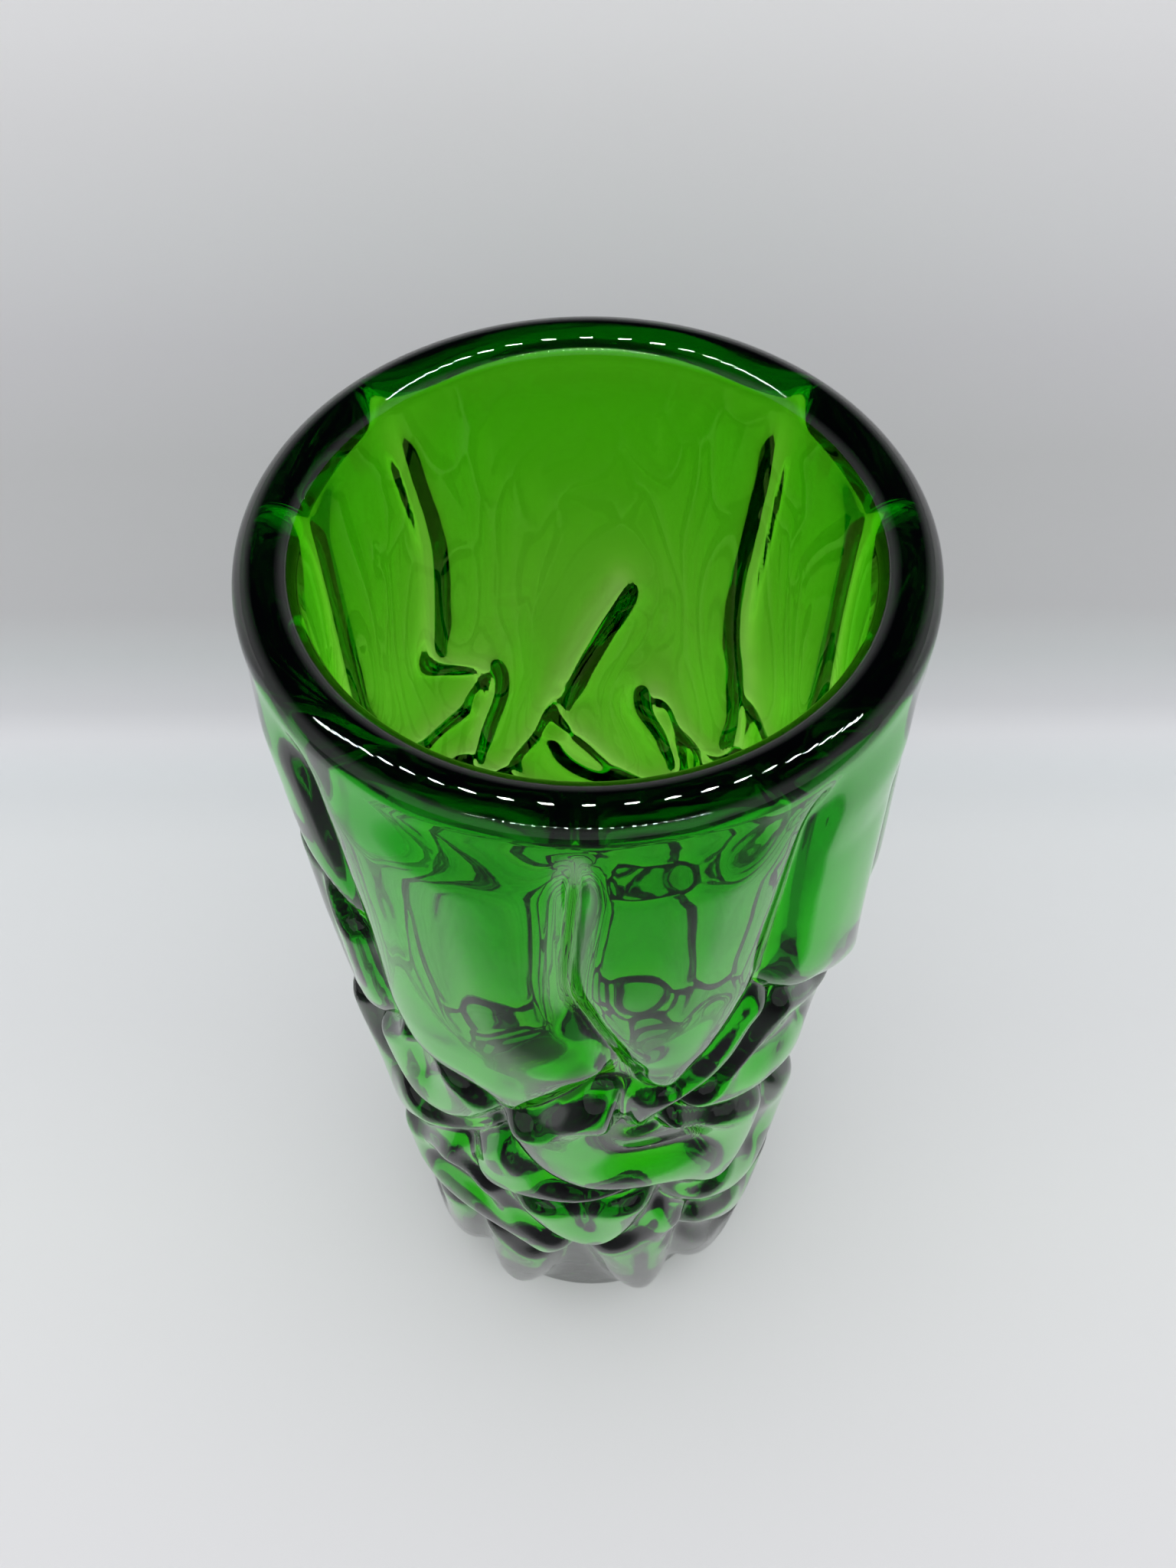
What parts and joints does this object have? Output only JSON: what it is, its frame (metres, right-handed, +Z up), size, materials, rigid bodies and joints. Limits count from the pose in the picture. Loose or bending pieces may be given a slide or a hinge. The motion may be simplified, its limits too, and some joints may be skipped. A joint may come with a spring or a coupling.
{
  "type": "glass vase",
  "caption": "Tall cylindrical vase of thick green glass, with smooth upright panels under a round rim and overlapping hanging folds down to a flat foot.",
  "frame": {"origin": "centre of the flat foot, on the surface that the vase stands on", "axes": "+Z up along the axis of the vase, -Y towards the front of the vase as pictured"},
  "size_m": [0.0952, 0.095, 0.25],
  "materials": {
    "green_glass": "clear, fire-polished, mould-blown, coloured through"
  },
  "bodies": {
    "root": {"vase_body": "green_glass"}
  },
  "joints": []
}
